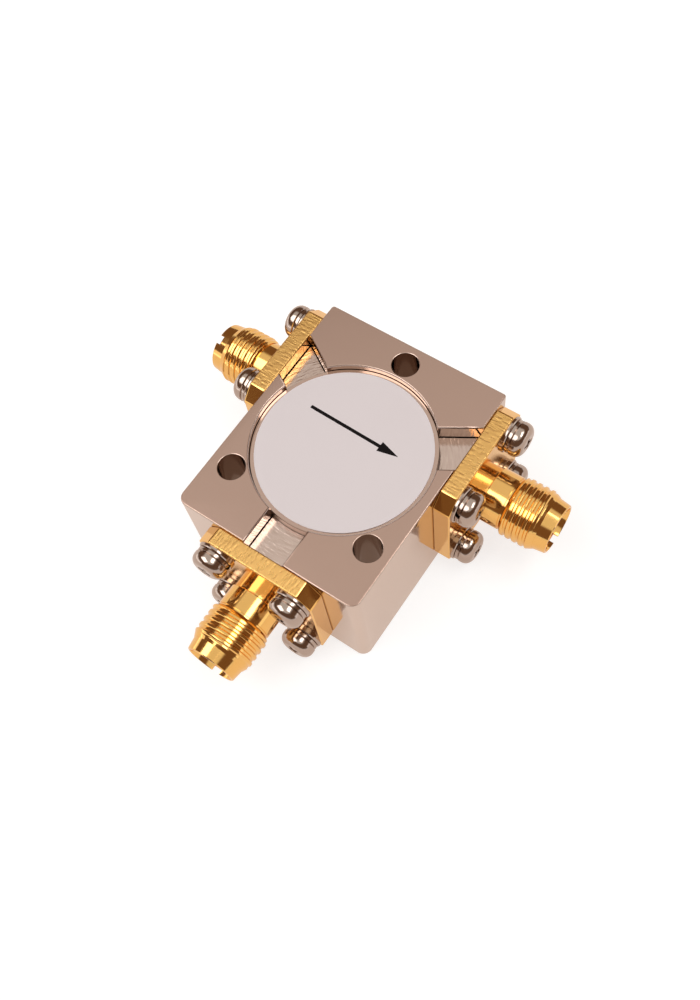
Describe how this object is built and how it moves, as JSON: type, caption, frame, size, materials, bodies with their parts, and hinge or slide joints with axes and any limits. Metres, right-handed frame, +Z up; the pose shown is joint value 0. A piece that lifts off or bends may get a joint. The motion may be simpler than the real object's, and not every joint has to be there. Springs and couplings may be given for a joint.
{
  "type": "rf circulator",
  "caption": "Coaxial RF circulator: a nickel-plated milled block with a round label in its well, through holes for mounting and gold-plated threaded jacks on its sides.",
  "frame": {"origin": "centre of the flat underside of the block, below the axis of the round well", "axes": "+Z up, out of the labelled face; -Y out of the front jack; +X out of the right jack"},
  "size_m": [0.0398, 0.0353, 0.0137],
  "materials": {
    "nickel_plate": "satin nickel plate on steel",
    "milled_nickel": "fine milled nickel plate",
    "label_film": "pale satin film",
    "pole_steel": "ground steel",
    "magnet": "ground magnet",
    "ferrite": "lapped ferrite",
    "dielectric": "lapped ceramic",
    "copper_strip": "bright copper",
    "gold_plate": "polished gold plate",
    "ptfe": "white PTFE",
    "stainless": "tumbled stainless steel"
  },
  "bodies": {
    "root": {"housing": "nickel_plate", "label": "label_film", "cover_disc": "milled_nickel", "upper_pole_plate": "pole_steel", "upper_magnet": "magnet", "upper_ground_plate": "milled_nickel", "upper_ferrite": "ferrite", "upper_dielectric_ring": "dielectric", "centre_conductor": "copper_strip", "lower_ferrite": "ferrite", "lower_dielectric_ring": "dielectric", "lower_ground_plate": "milled_nickel", "lower_magnet": "magnet", "lower_pole_plate": "pole_steel", "front_slot_filler": "milled_nickel", "right_slot_filler": "milled_nickel", "left_slot_filler": "milled_nickel", "front_connector_shell": "gold_plate", "right_connector_shell": "gold_plate", "left_connector_shell": "gold_plate", "front_insulator": "ptfe", "right_insulator": "ptfe", "left_insulator": "ptfe", "front_contact": "gold_plate", "right_contact": "gold_plate", "left_contact": "gold_plate", "flange_screws": "stainless", "spring_washers": "stainless", "flat_washers": "stainless"}
  },
  "joints": []
}
